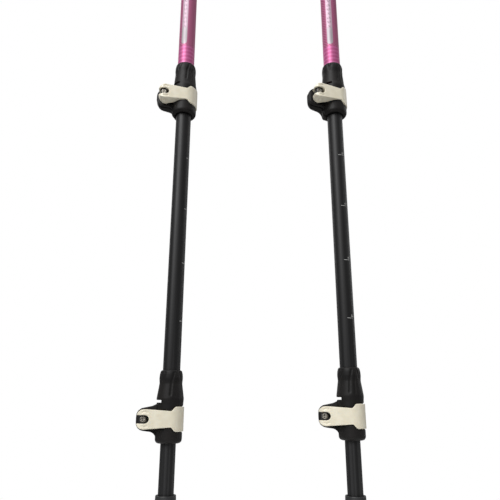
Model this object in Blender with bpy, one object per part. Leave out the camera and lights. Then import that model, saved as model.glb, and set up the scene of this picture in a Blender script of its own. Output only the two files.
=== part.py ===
"""A pair of three-section trekking poles with lever locks, upright and side by side.

The poles stand along +Z, their tips on z = 0, and are seen from -Y. Every length below is in
millimetres, and place() turns it into Blender's metres. A lock is modelled once for each of
its two sizes, around the pole's axis and up from its own bottom rim, and both poles share it.
"""

import math

import bmesh
import bpy
from mathutils import Matrix, Vector

MM = 0.001

# The pair and the heights along one pole, from the tip
POLE_SPACING = 144.0
TIP_TOP = 95.0
LOWER_LOCK_RIM = 131.7
LOCK_PITCH = 291.0
UPPER_LOCK_RIM = LOWER_LOCK_RIM + LOCK_PITCH
FOAM_BOTTOM = 666.0
GRIP_BOTTOM = 751.0
GRIP_HEIGHT = 130.0
CAP_BOTTOM = 114.3
SOFT_GAP = 0.3

# Tubes
UPPER_RADIUS = 8.0
MIDDLE_RADIUS = 7.0
LOWER_RADIUS = 6.0
TUBE_WALL = 0.8
TUBE_SEAT = 24.0
MIDDLE_LENGTH = 435.0
LOWER_LENGTH = 400.0
LOWER_IN_TIP = 27.0
UPPER_TUBE_TOP = GRIP_BOTTOM + 112.0
BORE_GAP = 0.2

# What both sizes of lock have in common
NECK_TOP = 55.5
BEAD_HEIGHT = 49.2
WAIST_HEIGHT = 45.0
SLIT_LOW = 30.4
SLIT_HIGH = 32.4
SLIT_END = -4.5
SPLIT_WIDTH = 1.2
LEVER_HEIGHT = 18.0
LUG_FRONT = -3.6
LUG_END = -26.2
LUG_BACK = 6.4
PIVOT_X = -18.4
CAM_RADIUS = 5.7
CAM_OFFSET = 0.3
PIVOT_Y = LUG_FRONT - SOFT_GAP - CAM_RADIUS - CAM_OFFSET
PIVOT_HALF = 7.4
ARM_HALF = 6.0
TAB_HALF = 9.3
TAB_END_ANGLE = 18.0
SLOT_RADIUS = 3.1
SLOT_CENTRE = PIVOT_X + 1.8
BARREL_RADIUS = 3.5
BARREL_LOW = -5.0
BARREL_HIGH = 5.6
SCREW_RADIUS = 1.5
HEAD_RADIUS = 2.4
HEAD_FACE = -3.4
HEAD_BACK = -1.7
NUT_FRONT = 2.9
NUT_BACK = 5.3
NUT_ACROSS_FLATS = 5.5

# What differs: the fixed tube, the sliding tube, the ring, the neck and the lever's sweep
LOCK_SIZES = {
    "upper": {
        "fixed": UPPER_RADIUS, "sliding": MIDDLE_RADIUS,
        "ring": 11.5, "shoulder": 10.7, "waist": 9.7, "bead": 10.0, "sweep": 10.4, "skin": 1.9,
    },
    "lower": {
        "fixed": MIDDLE_RADIUS, "sliding": LOWER_RADIUS,
        "ring": 10.5, "shoulder": 10.8, "waist": 9.1, "bead": 9.4, "sweep": 9.5, "skin": 1.8,
    },
}

# Each pole: where its strap points, how high its lower lock is set, how far its locks are turned
POLES = {
    "left": {"outward": -1, "lower_rim": LOWER_LOCK_RIM, "upper_turn": 5.0, "lower_turn": 0.0},
    "right": {"outward": 1, "lower_rim": LOWER_LOCK_RIM + 2.5, "upper_turn": 11.0, "lower_turn": -20.0},
}

# Grip, strap and tip
STRAP_WIDTH = 17.6
STRAP_PIN_X = 19.0
STRAP_PIN_HEIGHT = 121.0
STRAP_PIN_RADIUS = 1.5
WEBBING = 1.7
STRAP_NECK = 30.0
STRAP_DROP = 168.0
STRAP_REACH = 40.0
BASKET_RADIUS = 27.0
BASKET_HEIGHT = 43.0
CARBIDE_RADIUS = 2.2

ROUND = 24
SMALL_ROUND = 18
TINY_ROUND = 12


# Outlines, as lists of points in a plane


def arc(centre, radius, start, end, steps):
    """Points on a circle between two angles in degrees, both ends included."""
    points = []
    for i in range(steps + 1):
        angle = math.radians(start + (end - start) * i / steps)
        points.append((centre[0] + radius * math.cos(angle), centre[1] + radius * math.sin(angle)))
    return points


def tangent_angle(first, first_radius, second, second_radius, side):
    """The angle, in degrees, at which one straight line touches both circles."""
    along = Vector(second) - Vector(first)
    turn = math.acos((first_radius - second_radius) / along.length)
    return math.degrees(math.atan2(along.y, along.x) + side * turn)


def on_circle(centre, radius, angle):
    return arc(centre, radius, angle, angle, 1)[0]


def superellipse(half_x, half_y, power, steps):
    """A closed oval, rounder for a power of 2 and squarer above it."""
    points = []
    for i in range(steps):
        angle = 2 * math.pi * i / steps
        x = math.copysign(abs(math.cos(angle)) ** (2 / power), math.cos(angle))
        y = math.copysign(abs(math.sin(angle)) ** (2 / power), math.sin(angle))
        points.append((half_x * x, half_y * y))
    return points


# Meshes, each returned as one closed surface in millimetres


def finished(shape):
    """The bmesh as mesh data with its faces turned outwards."""
    bmesh.ops.recalc_face_normals(shape, faces=shape.faces)
    mesh = bpy.data.meshes.new("shape")
    shape.to_mesh(mesh)
    shape.free()
    return mesh


def prism(outline, low, high, along="Z"):
    """An outline pushed along Z, or an (x, z) outline pushed along Y."""
    shape = bmesh.new()
    ends = []
    for level in (low, high):
        if along == "Z":
            corners = [shape.verts.new((x, y, level)) for x, y in outline]
        else:
            corners = [shape.verts.new((x, level, z)) for x, z in outline]
        ends.append(corners)
    shape.faces.new(ends[0])
    shape.faces.new(ends[1])
    for i, corner in enumerate(ends[0]):
        after = (i + 1) % len(outline)
        shape.faces.new((corner, ends[0][after], ends[1][after], ends[1][i]))
    return finished(shape)


def box(low, high):
    outline = [(low[0], low[1]), (high[0], low[1]), (high[0], high[1]), (low[0], high[1])]
    return prism(outline, low[2], high[2])


def turned(profile, segments):
    """A closed (radius, height) profile turned about the Z axis. A radius of 0 is one point."""
    shape = bmesh.new()
    rings = []
    for radius, height in profile:
        if radius == 0:
            rings.append([shape.verts.new((0, 0, height))] * segments)
        else:
            circle = arc((0, 0), radius, 0, 360, segments)[:-1]
            rings.append([shape.verts.new((*point, height)) for point in circle])
    for i, ring in enumerate(rings):
        above = rings[(i + 1) % len(rings)]
        for j in range(segments):
            after = (j + 1) % segments
            corners = list(dict.fromkeys((ring[j], ring[after], above[after], above[j])))
            if len(corners) > 2:
                shape.faces.new(corners)
    return finished(shape)


def lofted(sections):
    """A skin over closed outlines of equal length, each a list of (x, y, z), with both ends capped."""
    shape = bmesh.new()
    rings = [[shape.verts.new(point) for point in section] for section in sections]
    shape.faces.new(rings[0])
    shape.faces.new(rings[-1])
    for ring, above in zip(rings, rings[1:]):
        for j in range(len(ring)):
            after = (j + 1) % len(ring)
            shape.faces.new((ring[j], ring[after], above[after], above[j]))
    return finished(shape)


def rod(radius, low, high, segments):
    return turned([(0, low), (radius, low), (radius, high), (0, high)], segments)


def moved(mesh, offset=(0, 0, 0), turn=(0, "Z")):
    """The mesh turned about one axis, in degrees, and then moved."""
    mesh.transform(Matrix.Translation(offset) @ Matrix.Rotation(math.radians(turn[0]), 4, turn[1]))
    return mesh


def rod_along_y(radius, low, high, segments, offset):
    """A rod whose axis runs from y = low to y = high through the offset."""
    return moved(rod(radius, -high, -low, segments), offset, (90, "X"))


def combined(base, tool, operation):
    """A Boolean of two meshes, worked out at once so that both poles can share the result."""
    base_object = bpy.data.objects.new("base", base)
    tool_object = bpy.data.objects.new("tool", tool)
    for helper in (base_object, tool_object):
        bpy.context.scene.collection.objects.link(helper)
    boolean = base_object.modifiers.new("boolean", "BOOLEAN")
    boolean.operation = operation
    boolean.object = tool_object
    bpy.context.view_layer.update()
    evaluated = base_object.evaluated_get(bpy.context.evaluated_depsgraph_get())
    result = bpy.data.meshes.new_from_object(evaluated)
    bpy.data.objects.remove(base_object)
    bpy.data.objects.remove(tool_object)
    return result


def cut(base, *tools):
    for tool in tools:
        base = combined(base, tool, "DIFFERENCE")
    return base


def crossed(plan, front):
    """The solid that has one outline from above and another from the front."""
    reach = 60.0
    return combined(prism(plan, -reach, reach), prism(front, -reach, reach, "Y"), "INTERSECT")


# Materials and objects


def material(name, colour, roughness, metallic=0.0):
    made = bpy.data.materials.new(name)
    made.use_nodes = True
    surface = made.node_tree.nodes["Principled BSDF"]
    surface.inputs["Base Color"].default_value = (*colour, 1.0)
    surface.inputs["Roughness"].default_value = roughness
    surface.inputs["Metallic"].default_value = metallic
    return made


def empty(name, offset, parent=None):
    """A joint's or a section's reference point, offset in millimetres from its parent's."""
    made = bpy.data.objects.new(name, None)
    made.location = Vector(offset) * MM
    made.parent = parent
    bpy.context.scene.collection.objects.link(made)
    return made


def place(name, mesh, surface, offset, parent):
    """One named piece, its mesh in millimetres, with its own origin at the offset."""
    made = bpy.data.objects.new(name, mesh)
    made.location = Vector(offset) * MM
    made.scale = (MM, MM, MM)
    made.parent = parent
    mesh.materials.clear()
    mesh.materials.append(surface)
    mesh.shade_smooth()
    mesh.set_sharp_from_angle(angle=math.radians(35))
    bpy.context.scene.collection.objects.link(made)
    return made


# Lock


def housing_mesh(size):
    """Neck sleeve, clamp ring and split lugs in one moulding."""
    ring = size["ring"]
    fixed_bore = size["fixed"] + BORE_GAP
    sliding_bore = size["sliding"] + BORE_GAP
    rim_round = 3.0
    profile = [(sliding_bore, 1.2), (sliding_bore + 1.0, 0)]
    profile += arc((ring - rim_round, rim_round), rim_round, -90, 0, 4)
    profile += [(ring, SLIT_LOW - 1), (size["shoulder"], SLIT_HIGH + 1), (size["waist"], WAIST_HEIGHT)]
    lip = size["fixed"] + 0.7
    for across, up in arc((0, 0), 1, 0, 90, 3):
        profile.append((lip + (size["bead"] - lip) * across, BEAD_HEIGHT + (NECK_TOP - BEAD_HEIGHT) * up))
    profile += [(fixed_bore, NECK_TOP)]
    profile += [(fixed_bore, TUBE_SEAT - SOFT_GAP), (sliding_bore, TUBE_SEAT - SOFT_GAP)]
    body = turned(profile, ROUND)

    back_round = 5.2
    back_centre = (LUG_END + back_round, LUG_BACK - back_round)
    front_round = 2.4
    back_angle = tangent_angle(back_centre, back_round, (0, 0), ring, 1)
    plan = [(-7, LUG_FRONT)]
    plan += arc((LUG_END + front_round, LUG_FRONT + front_round), front_round, -90, -180, 3)
    plan += arc(back_centre, back_round, 180, back_angle, 5)
    plan += [on_circle((0, 0), ring, back_angle + 3), (-2, 8.4), (-7, 4)]
    front = [(-2, SLIT_LOW), (-8.4, SLIT_LOW - 0.8), (-11, 29.0), (-13.4, 27.9), (-16, 27.4)]
    lug_round = 7.2
    front += arc((LUG_END + lug_round, 26.8 - lug_round), lug_round, 90, 180, 4)
    front += arc((LUG_END + lug_round, 9.0 + lug_round), lug_round, 180, 270, 4)
    front += arc((-15.4, 2.6), 6.0, 90, 0, 5)
    front += [(-8, 1.5), (-2, 1.5)]
    body = combined(body, crossed(plan, front), "UNION")

    bores = turned(
        [(0, -1), (sliding_bore, -1), (sliding_bore, TUBE_SEAT - SOFT_GAP),
         (fixed_bore, TUBE_SEAT - SOFT_GAP), (fixed_bore, SLIT_HIGH), (0, SLIT_HIGH)], ROUND)
    slit = box((-40, -40, SLIT_LOW), (SLIT_END, 40, SLIT_HIGH))
    split = box((-40, -SPLIT_WIDTH / 2, -1), (-2, SPLIT_WIDTH / 2, SLIT_LOW + 0.5))
    screw_axis = (PIVOT_X, 0, LEVER_HEIGHT)
    screw_hole = rod_along_y(SCREW_RADIUS + BORE_GAP, -10, 20, TINY_ROUND, screw_axis)
    nut_pocket = moved(hexagon(NUT_ACROSS_FLATS + 0.4, NUT_FRONT - 0.2, 20), screw_axis)
    return cut(body, bores, recess_mesh(size), slit, split, screw_hole, nut_pocket)


def hexagon(across_flats, low, high):
    """A hexagonal bar along Y, centred on the Y axis."""
    corner = across_flats / 2 / math.cos(math.radians(30))
    return prism(arc((0, 0), corner, 0, 360, 6)[:-1], low, high, "Y")


def recess_mesh(size):
    """The room that the closed lever takes out of the ring."""
    floor = size["sweep"] - SOFT_GAP
    start = -180 + math.degrees(math.asin(-LUG_FRONT / floor))
    end = TAB_END_ANGLE + 9
    plan = arc((0, 0), floor, start, end, 16)
    plan += [on_circle((0, 0), 20, end), (30, 0), (30, -30), (-40, -30), (-40, LUG_FRONT)]
    return crossed(plan, lever_front(0.5))


def lever_front(margin=0.0):
    """The lever from the front: a round pivot end, a narrower arm and a T-shaped tab."""
    corner = 6.6
    left = PIVOT_X - CAM_RADIUS - margin
    high = arc((left + corner, PIVOT_HALF + margin - corner), corner, 180, 90, 4)
    high += [(-1, ARM_HALF + 0.3 + margin), (2.6, ARM_HALF + margin), (3.6, ARM_HALF + 0.5 + margin)]
    high += [(5.4 - margin, TAB_HALF - 0.5 + margin), (6.5 - margin, TAB_HALF + margin)]
    high += [(30, TAB_HALF + margin)]
    low = [(x, -z) for x, z in reversed(high)]
    return [(x, LEVER_HEIGHT + z) for x, z in high + low]


def lever_mesh(size):
    """Cam, arm and thumb tab in one, in the lock's own coordinates."""
    inner = size["sweep"]
    outer = inner + size["skin"]
    cam = (PIVOT_X, PIVOT_Y + CAM_OFFSET)
    front_touch = tangent_angle(cam, CAM_RADIUS, (0, 0), outer, -1)
    inner_start = -140
    meeting = on_circle((0, 0), inner, inner_start)
    back_touch = tangent_angle(cam, CAM_RADIUS, meeting, 0, 1)
    plan = arc((0, 0), outer, front_touch, TAB_END_ANGLE - 3, 14)
    plan += [on_circle((0, 0), (inner + outer) / 2, TAB_END_ANGLE)]
    plan += arc((0, 0), inner, TAB_END_ANGLE - 3, inner_start, 14)
    plan += arc(cam, CAM_RADIUS, back_touch, front_touch + 360, 14)
    lever = crossed(plan, lever_front())

    slot = [(-40, LEVER_HEIGHT - SLOT_RADIUS)]
    slot += arc((SLOT_CENTRE, LEVER_HEIGHT), SLOT_RADIUS, -90, 90, 8)
    slot += [(-40, LEVER_HEIGHT + SLOT_RADIUS)]
    pivot = (PIVOT_X, PIVOT_Y, LEVER_HEIGHT)
    bore = moved(rod(BARREL_RADIUS + BORE_GAP, BARREL_LOW - 0.2, 20, SMALL_ROUND), pivot)
    dimple = moved(rod(2.0, -20, -PIVOT_HALF + 0.5, SMALL_ROUND), pivot)
    return cut(lever, prism(slot, -40, 10, "Y"), bore, dimple)


def barrel_mesh():
    """The pivot pin, upright through the origin, cross-drilled for the screw and its head."""
    pin = rod(BARREL_RADIUS, BARREL_LOW, BARREL_HIGH, SMALL_ROUND)
    counterbore = rod_along_y(HEAD_RADIUS + BORE_GAP, -10, HEAD_BACK + 0.1, TINY_ROUND, (0, 0, 0))
    through = rod_along_y(SCREW_RADIUS + BORE_GAP, -10, 10, TINY_ROUND, (0, 0, 0))
    return cut(pin, counterbore, through)


def screw_mesh():
    """The tension screw along Y, its head to the front and a cross recess in it."""
    shank_end = NUT_BACK - PIVOT_Y + 0.4
    profile = [(0, HEAD_FACE), (HEAD_RADIUS - 0.3, HEAD_FACE), (HEAD_RADIUS, HEAD_FACE + 0.4)]
    profile += [(HEAD_RADIUS, HEAD_BACK), (SCREW_RADIUS, HEAD_BACK)]
    profile += [(SCREW_RADIUS, shank_end - 0.5), (SCREW_RADIUS - 0.5, shank_end), (0, shank_end)]
    screw = moved(turned(profile, TINY_ROUND + 2), turn=(-90, "X"))
    half = 1.6
    blade = 0.35
    floor = HEAD_FACE + 0.9
    upright = box((-blade, -10, -half), (blade, floor, half))
    level = box((-half, -10, -blade), (half, floor, blade))
    return cut(screw, combined(upright, level, "UNION"))


def nut_mesh():
    """The captive nut behind the rear lug, on the screw's axis."""
    hole = rod_along_y(SCREW_RADIUS + 0.12, -10, 10, TINY_ROUND + 2, (0, 0, 0))
    return cut(hexagon(NUT_ACROSS_FLATS, NUT_FRONT, NUT_BACK), hole)


def lock_meshes(size):
    """The five pieces of a lock, each with its own origin, and that origin in the lock."""
    pivot = (PIVOT_X, PIVOT_Y, LEVER_HEIGHT)
    screw_axis = (PIVOT_X, 0, LEVER_HEIGHT)
    return {
        "housing": (housing_mesh(size), (0, 0, 0), "housing"),
        "lever": (moved(lever_mesh(size), -Vector(pivot)), pivot, "lever"),
        "barrel": (barrel_mesh(), pivot, "barrel"),
        "screw": (screw_mesh(), pivot, "steel"),
        "nut": (nut_mesh(), screw_axis, "steel"),
    }


# Tubes and what goes in their ends


def tube_mesh(radius, low, high):
    inner = radius - TUBE_WALL
    return turned([(inner, low), (radius, low), (radius, high), (inner, high)], ROUND)


def bushing_mesh(radius):
    """A guide plug whose flange rides in the next tube up, with the tube's end at z = 0."""
    plug = radius - TUBE_WALL - BORE_GAP
    flange = radius + 0.05
    profile = [(plug - 2, -14), (plug, -14), (plug, SOFT_GAP), (flange, SOFT_GAP)]
    profile += [(flange, 3.3), (plug - 2, 3.3)]
    return turned(profile, SMALL_ROUND)


# Tip


def tip_mesh():
    """The moulded lower end: a socket for the tube, a seat for the basket and a slender cone."""
    socket = LOWER_RADIUS + BORE_GAP
    profile = [(CARBIDE_RADIUS + BORE_GAP, 12), (3.6, 12), (4.9, 38), (5.0, 50.3), (6.4, 50.3), (6.6, 56)]
    profile += [(7.4, 68), (8.0, 90), (7.6, TIP_TOP), (socket, TIP_TOP)]
    profile += [(socket, TIP_TOP - LOWER_IN_TIP - SOFT_GAP), (3.0, TIP_TOP - LOWER_IN_TIP - SOFT_GAP)]
    profile += [(3.0, 34), (CARBIDE_RADIUS + BORE_GAP, 34)]
    return turned(profile, SMALL_ROUND)


def carbide_mesh():
    """The hard insert, with a flat end that stands on the ground."""
    return turned([(0, 0), (1.7, 0), (CARBIDE_RADIUS, 1.2), (CARBIDE_RADIUS, 30), (0, 30)], SMALL_ROUND)


def basket_mesh():
    """A shallow saucer with six windows around a hub that screws on to the tip."""
    bore = 5.3
    edge = BASKET_RADIUS
    profile = [(bore, -4), (bore + 2.2, -4), (bore + 2.4, -0.6), (edge - 3, 2.6), (edge, 3.2)]
    profile += [(edge, 5.4), (edge - 3.4, 4.8), (bore + 2.6, 1.6), (bore + 2.2, 7), (bore, 7)]
    basket = turned(profile, ROUND)
    for i in range(6):
        centre = on_circle((0, 0), 16.4, 30 + 60 * i)
        basket = cut(basket, moved(rod(4.4, -10, 20, TINY_ROUND), (*centre, 0)))
    return basket


# Grip, with its outer side towards +X


def ring_of(half_x, half_y, offset, height, power=2.0):
    return [(x + offset, y, height) for x, y in superellipse(half_x, half_y, power, ROUND - 4)]


def handle_mesh():
    """The hand grip: half depth, half width and offset of its outline at each height."""
    stations = [
        (0.0, 15.0, 14.2, 0.0), (5.0, 16.6, 15.4, 0.0), (11.0, 16.4, 15.2, -0.3),
        (22.0, 14.6, 13.9, -0.6), (38.0, 14.8, 14.0, -0.4), (58.0, 16.2, 15.0, -0.2),
        (76.0, 15.4, 14.3, -0.4), (92.0, 14.6, 13.8, -1.4), (104.0, 16.2, 14.6, -2.6),
        (114.0, 18.6, 15.6, -3.6),
    ]
    handle = lofted([ring_of(*half, offset, height) for height, *half, offset in stations])
    return cut(handle, rod(UPPER_RADIUS + SOFT_GAP, -1, 200, ROUND))


def cap_mesh():
    """The hard head of the grip, notched on its outer side for the strap, with a spigot in the tube."""
    stations = [
        (CAP_BOTTOM, 20.4, 15.4, -1.6), (117.5, 22.6, 16.4, 0.2), (122.5, 23.0, 16.6, 0.3),
        (126.5, 21.0, 15.0, 0.0), (129.0, 17.0, 12.0, -0.4), (GRIP_HEIGHT, 13.0, 9.0, -0.6),
    ]
    cap = lofted([ring_of(*half, offset, height, 3.0) for height, *half, offset in stations])
    spigot = rod(UPPER_RADIUS - TUBE_WALL - BORE_GAP, 98, CAP_BOTTOM + 1, SMALL_ROUND)
    half = STRAP_WIDTH / 2 + 0.6
    notch = box((14.4, -half, 100), (40, half, 126.4))
    pin_hole = rod_along_y(
        STRAP_PIN_RADIUS + BORE_GAP, -12.4, 30, TINY_ROUND, (STRAP_PIN_X, 0, STRAP_PIN_HEIGHT))
    return cut(combined(cap, spigot, "UNION"), notch, pin_hole)


def extension_mesh():
    """The foam sleeve below the grip, with shallow ribs."""
    low = FOAM_BOTTOM - GRIP_BOTTOM
    high = -SOFT_GAP
    ribs = 5
    profile = [(UPPER_RADIUS + SOFT_GAP, low), (12.4, low), (14.0, low + 3)]
    for i in range(ribs):
        middle = low + (high - low) * (i + 0.7) / ribs
        profile += [(14.0, middle - 2.4), (13.2, middle), (14.0, middle + 2.4)]
    profile += [(14.0, high), (UPPER_RADIUS + SOFT_GAP, high)]
    return turned(profile, SMALL_ROUND)


def strap_outline(thickness):
    """The hanging wrist loop from the side, that far outside its middle line. The pin is at (0, 0)."""
    bottom_radius = STRAP_REACH / 2 - 2
    centre = (STRAP_REACH / 2 - 0.5, -STRAP_DROP + bottom_radius)
    radius = bottom_radius + thickness
    outline = [(-thickness, -STRAP_NECK - 4)]
    outline += [(-thickness - 0.6, -STRAP_NECK - 16)]
    outline += arc(centre, radius, 180, 360, 12)
    outline += [(STRAP_REACH * 0.78 + thickness, -STRAP_NECK - 58)]
    outline += [(STRAP_REACH * 0.45 + thickness, -STRAP_NECK - 22)]
    outline += [(thickness + 2.6, -STRAP_NECK - 4)]
    return outline


def strap_mesh():
    """Webbing folded over the pin, sewn into one neck and opened out into the wrist loop."""
    half = STRAP_WIDTH / 2
    eye = STRAP_PIN_RADIUS + 0.25
    neck = [(-WEBBING, -7), (-WEBBING, -STRAP_NECK - 8), (WEBBING, -STRAP_NECK - 8), (WEBBING, -7)]
    neck += arc((0, 0), eye + WEBBING, -30, 210, 10)
    loop = prism(strap_outline(WEBBING / 2), -half, half, "Y")
    strap = combined(loop, prism(neck, -half, half, "Y"), "UNION")
    loop_hole = prism(strap_outline(-WEBBING / 2), -half - 1, half + 1, "Y")
    pin_hole = rod_along_y(eye, -half - 1, half + 1, TINY_ROUND, (0, 0, 0))
    return cut(strap, loop_hole, pin_hole)


def keeper_mesh():
    """The moulded keeper that holds the two strands of the neck together."""
    depth = WEBBING + SOFT_GAP
    width = STRAP_WIDTH / 2 + SOFT_GAP
    block = box((-depth - 1.6, -width - 1.8, -24), (depth + 1.6, width + 1.8, -15))
    return cut(block, box((-depth, -width, -30), (depth, width, 0)))


def mirrored(mesh):
    """The mesh with its outer side towards -X."""
    mesh.transform(Matrix.Scale(-1, 4, (1, 0, 0)))
    mesh.flip_normals()
    return mesh


# Assembly


def place_lock(prefix, meshes, surfaces, rim, turn, parent):
    lock = empty(prefix + "_lock_rim", (0, 0, rim), parent)
    lock.rotation_euler.z = math.radians(turn)
    for piece, (mesh, origin, surface) in meshes.items():
        place(f"{prefix}_{piece}", mesh, surfaces[surface], origin, lock)


def place_grip(side, outward, surfaces, upper):
    """The grip's own pieces ride on the upper tube, and the strap turns about its pin."""
    base = empty(side + "_grip_base", (0, 0, GRIP_BOTTOM), upper)
    pin = (outward * STRAP_PIN_X, 0, STRAP_PIN_HEIGHT)
    strap_hinge = empty(side + "_strap_hinge", pin, base)
    pin_mesh = rod_along_y(STRAP_PIN_RADIUS, -12, 12, TINY_ROUND, (0, 0, 0))
    facing = {
        "grip_handle": (handle_mesh(), "grip", (0, 0, 0), base),
        "grip_cap": (cap_mesh(), "cap", (0, 0, 0), base),
        "wrist_strap": (strap_mesh(), "webbing", (0, 0, 0), strap_hinge),
        "strap_keeper": (keeper_mesh(), "cap", (0, 0, 0), strap_hinge),
    }
    for piece, (mesh, surface, offset, parent) in facing.items():
        if outward < 0:
            mesh = mirrored(mesh)
        place(f"{side}_{piece}", mesh, surfaces[surface], offset, parent)
    place(side + "_strap_pin", pin_mesh, surfaces["steel"], pin, base)
    place(side + "_grip_extension", extension_mesh(), surfaces["foam"], (0, 0, 0), base)


def place_pole(side, pole, meshes, surfaces):
    """One pole: its upper section, the middle section that slides in it, and the lower one in that."""
    outward = pole["outward"]
    upper = empty(side + "_upper_section", (outward * POLE_SPACING / 2, 0, 0))
    middle = empty(side + "_middle_section", (0, 0, pole["lower_rim"]), upper)
    lower = empty(side + "_lower_section", (0, 0, -pole["lower_rim"]), middle)

    upper_low = UPPER_LOCK_RIM + TUBE_SEAT
    upper_tube = tube_mesh(UPPER_RADIUS, upper_low, UPPER_TUBE_TOP)
    place(side + "_upper_tube", upper_tube, surfaces["upper_tube"], (0, 0, 0), upper)
    place_lock(side + "_upper", meshes["upper"], surfaces, UPPER_LOCK_RIM, pole["upper_turn"], upper)
    place_grip(side, outward, surfaces, upper)

    middle_top = TUBE_SEAT + MIDDLE_LENGTH
    middle_tube = tube_mesh(MIDDLE_RADIUS, TUBE_SEAT, middle_top)
    middle_bushing = bushing_mesh(MIDDLE_RADIUS)
    place(side + "_middle_tube", middle_tube, surfaces["lower_tubes"], (0, 0, 0), middle)
    place(side + "_middle_bushing", middle_bushing, surfaces["bushing"], (0, 0, middle_top), middle)
    place_lock(side + "_lower", meshes["lower"], surfaces, 0, pole["lower_turn"], middle)

    lower_low = TIP_TOP - LOWER_IN_TIP
    lower_top = lower_low + LOWER_LENGTH
    lower_tube = tube_mesh(LOWER_RADIUS, lower_low, lower_top)
    lower_bushing = bushing_mesh(LOWER_RADIUS)
    place(side + "_lower_tube", lower_tube, surfaces["lower_tubes"], (0, 0, 0), lower)
    place(side + "_lower_bushing", lower_bushing, surfaces["bushing"], (0, 0, lower_top), lower)
    place(side + "_flex_tip", tip_mesh(), surfaces["tip"], (0, 0, 0), lower)
    place(side + "_carbide_tip", carbide_mesh(), surfaces["steel"], (0, 0, 0), lower)
    place(side + "_basket", basket_mesh(), surfaces["tip"], (0, 0, BASKET_HEIGHT), lower)


def main():
    for old in list(bpy.data.objects):
        bpy.data.objects.remove(old)
    surfaces = {
        "upper_tube": material("magenta_anodised", (0.48, 0.05, 0.24), 0.28, 0.85),
        "lower_tubes": material("black_anodised", (0.012, 0.012, 0.013), 0.30, 0.6),
        "housing": material("black_moulding", (0.014, 0.014, 0.015), 0.55),
        "lever": material("ivory_moulding", (0.76, 0.69, 0.54), 0.38),
        "barrel": material("dark_acetal", (0.02, 0.02, 0.02), 0.4),
        "steel": material("bright_steel", (0.62, 0.61, 0.6), 0.3, 1.0),
        "bushing": material("grey_acetal", (0.16, 0.16, 0.16), 0.5),
        "grip": material("black_grip_rubber", (0.02, 0.02, 0.021), 0.75),
        "foam": material("black_foam", (0.03, 0.03, 0.031), 0.9),
        "cap": material("black_hard_plastic", (0.015, 0.015, 0.016), 0.35),
        "webbing": material("black_webbing", (0.02, 0.02, 0.02), 0.9),
        "tip": material("black_tip_plastic", (0.015, 0.015, 0.016), 0.45),
    }
    meshes = {name: lock_meshes(size) for name, size in LOCK_SIZES.items()}
    for side, pole in POLES.items():
        place_pole(side, pole, meshes, surfaces)


main()
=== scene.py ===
"""The looks of a pair of trekking poles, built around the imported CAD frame.

Lengths are in metres once a piece stands in the scene. Profiles and outlines are written in
millimetres, and MM turns them into metres. Azimuths are in degrees, 0 at the front and positive
towards +X.
"""

import math

import bmesh
import bpy
import numpy as np
from mathutils import Matrix, Vector


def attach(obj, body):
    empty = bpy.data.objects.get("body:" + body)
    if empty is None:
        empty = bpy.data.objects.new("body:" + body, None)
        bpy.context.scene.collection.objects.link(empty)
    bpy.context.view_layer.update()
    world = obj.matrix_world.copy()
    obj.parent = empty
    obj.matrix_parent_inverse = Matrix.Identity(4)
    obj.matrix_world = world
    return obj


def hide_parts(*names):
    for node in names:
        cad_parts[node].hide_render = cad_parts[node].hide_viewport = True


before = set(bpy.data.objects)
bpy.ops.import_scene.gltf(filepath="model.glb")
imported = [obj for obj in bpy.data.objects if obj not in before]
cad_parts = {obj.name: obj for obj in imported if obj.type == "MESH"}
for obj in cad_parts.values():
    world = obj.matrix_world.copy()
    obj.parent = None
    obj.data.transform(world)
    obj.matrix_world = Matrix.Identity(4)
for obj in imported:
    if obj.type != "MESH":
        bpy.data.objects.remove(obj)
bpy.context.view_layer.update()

MM = 0.001

# The part's own dimensions that the looks need, in millimetres
UPPER_LOCK_RIM = 422.7
NECK_TOP = 55.5  # this and the lever's height are measured from a lock's lower rim
LEVER_HEIGHT = 18.0
PIVOT_X = -18.4
RING_SEGMENTS = 24
UPPER_RADIUS = 8.0
MIDDLE_RADIUS = 7.0
LOWER_RADIUS = 6.0
TUBE_WALL = 0.8
TUBE_SEAT = 24.0  # from a lock's lower rim up to the end of the tube that it holds
UPPER_TUBE_TOP = 863.0
MIDDLE_LENGTH = 435.0
LOWER_TUBE_LOW = 68.0
LOWER_TUBE_TOP = 468.0
FOAM_BOTTOM = 666.0
GRIP_BOTTOM = 751.0
STRAP_PIN_X = 19.0  # from the pole's axis, and the pin's height is above the grip's bottom
STRAP_PIN_HEIGHT = 121.0
STRAP_WIDTH = 17.6
WEBBING = 1.7
TIP_TOP = 95.0
BASKET_HEIGHT = 43.0

# Each pole: the side its strap points to, its lower lock's height, its locks' turns, and where
# the band on its upper tube and the scales on its middle and lower tubes face
POLES = {
    "left": {
        "outward": -1, "axis": -72.0, "lower_rim": 131.7, "upper_turn": 5.0, "lower_turn": 0.0,
        "band": -14.0, "middle_scale": 70.0, "lower_scale": 150.0,
    },
    "right": {
        "outward": 1, "axis": 72.0, "lower_rim": 134.2, "upper_turn": 11.0, "lower_turn": -20.0,
        "band": -13.0, "middle_scale": 22.0, "lower_scale": 120.0,
    },
}

# What the two sizes of lock differ in: the ring's and the neck's radii
LOCK_SIZES = {"upper": {"ring": 11.5, "neck": 10.2}, "lower": {"ring": 10.5, "neck": 9.7}}

# The scales: marks every 50 mm, numbered in centimetres
MARK_SPACING = 50
MARKS = 7
FIRST_NUMBER = 100
MIDDLE_FIRST_MARK = 95.0  # above the lower lock's lower rim
LOWER_FIRST_MARK = 45.0  # above the lower tube's lower end

# Sides of a turned piece and of the floor
FINE = 96


# Materials


def rgb(red, green, blue):
    """A colour given as it looks on screen, 0 to 255, in Blender's linear values."""
    linear = []
    for value in (red, green, blue):
        share = value / 255
        linear.append(share / 12.92 if share <= 0.04045 else ((share + 0.055) / 1.055) ** 2.4)
    return (*linear, 1.0)


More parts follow.
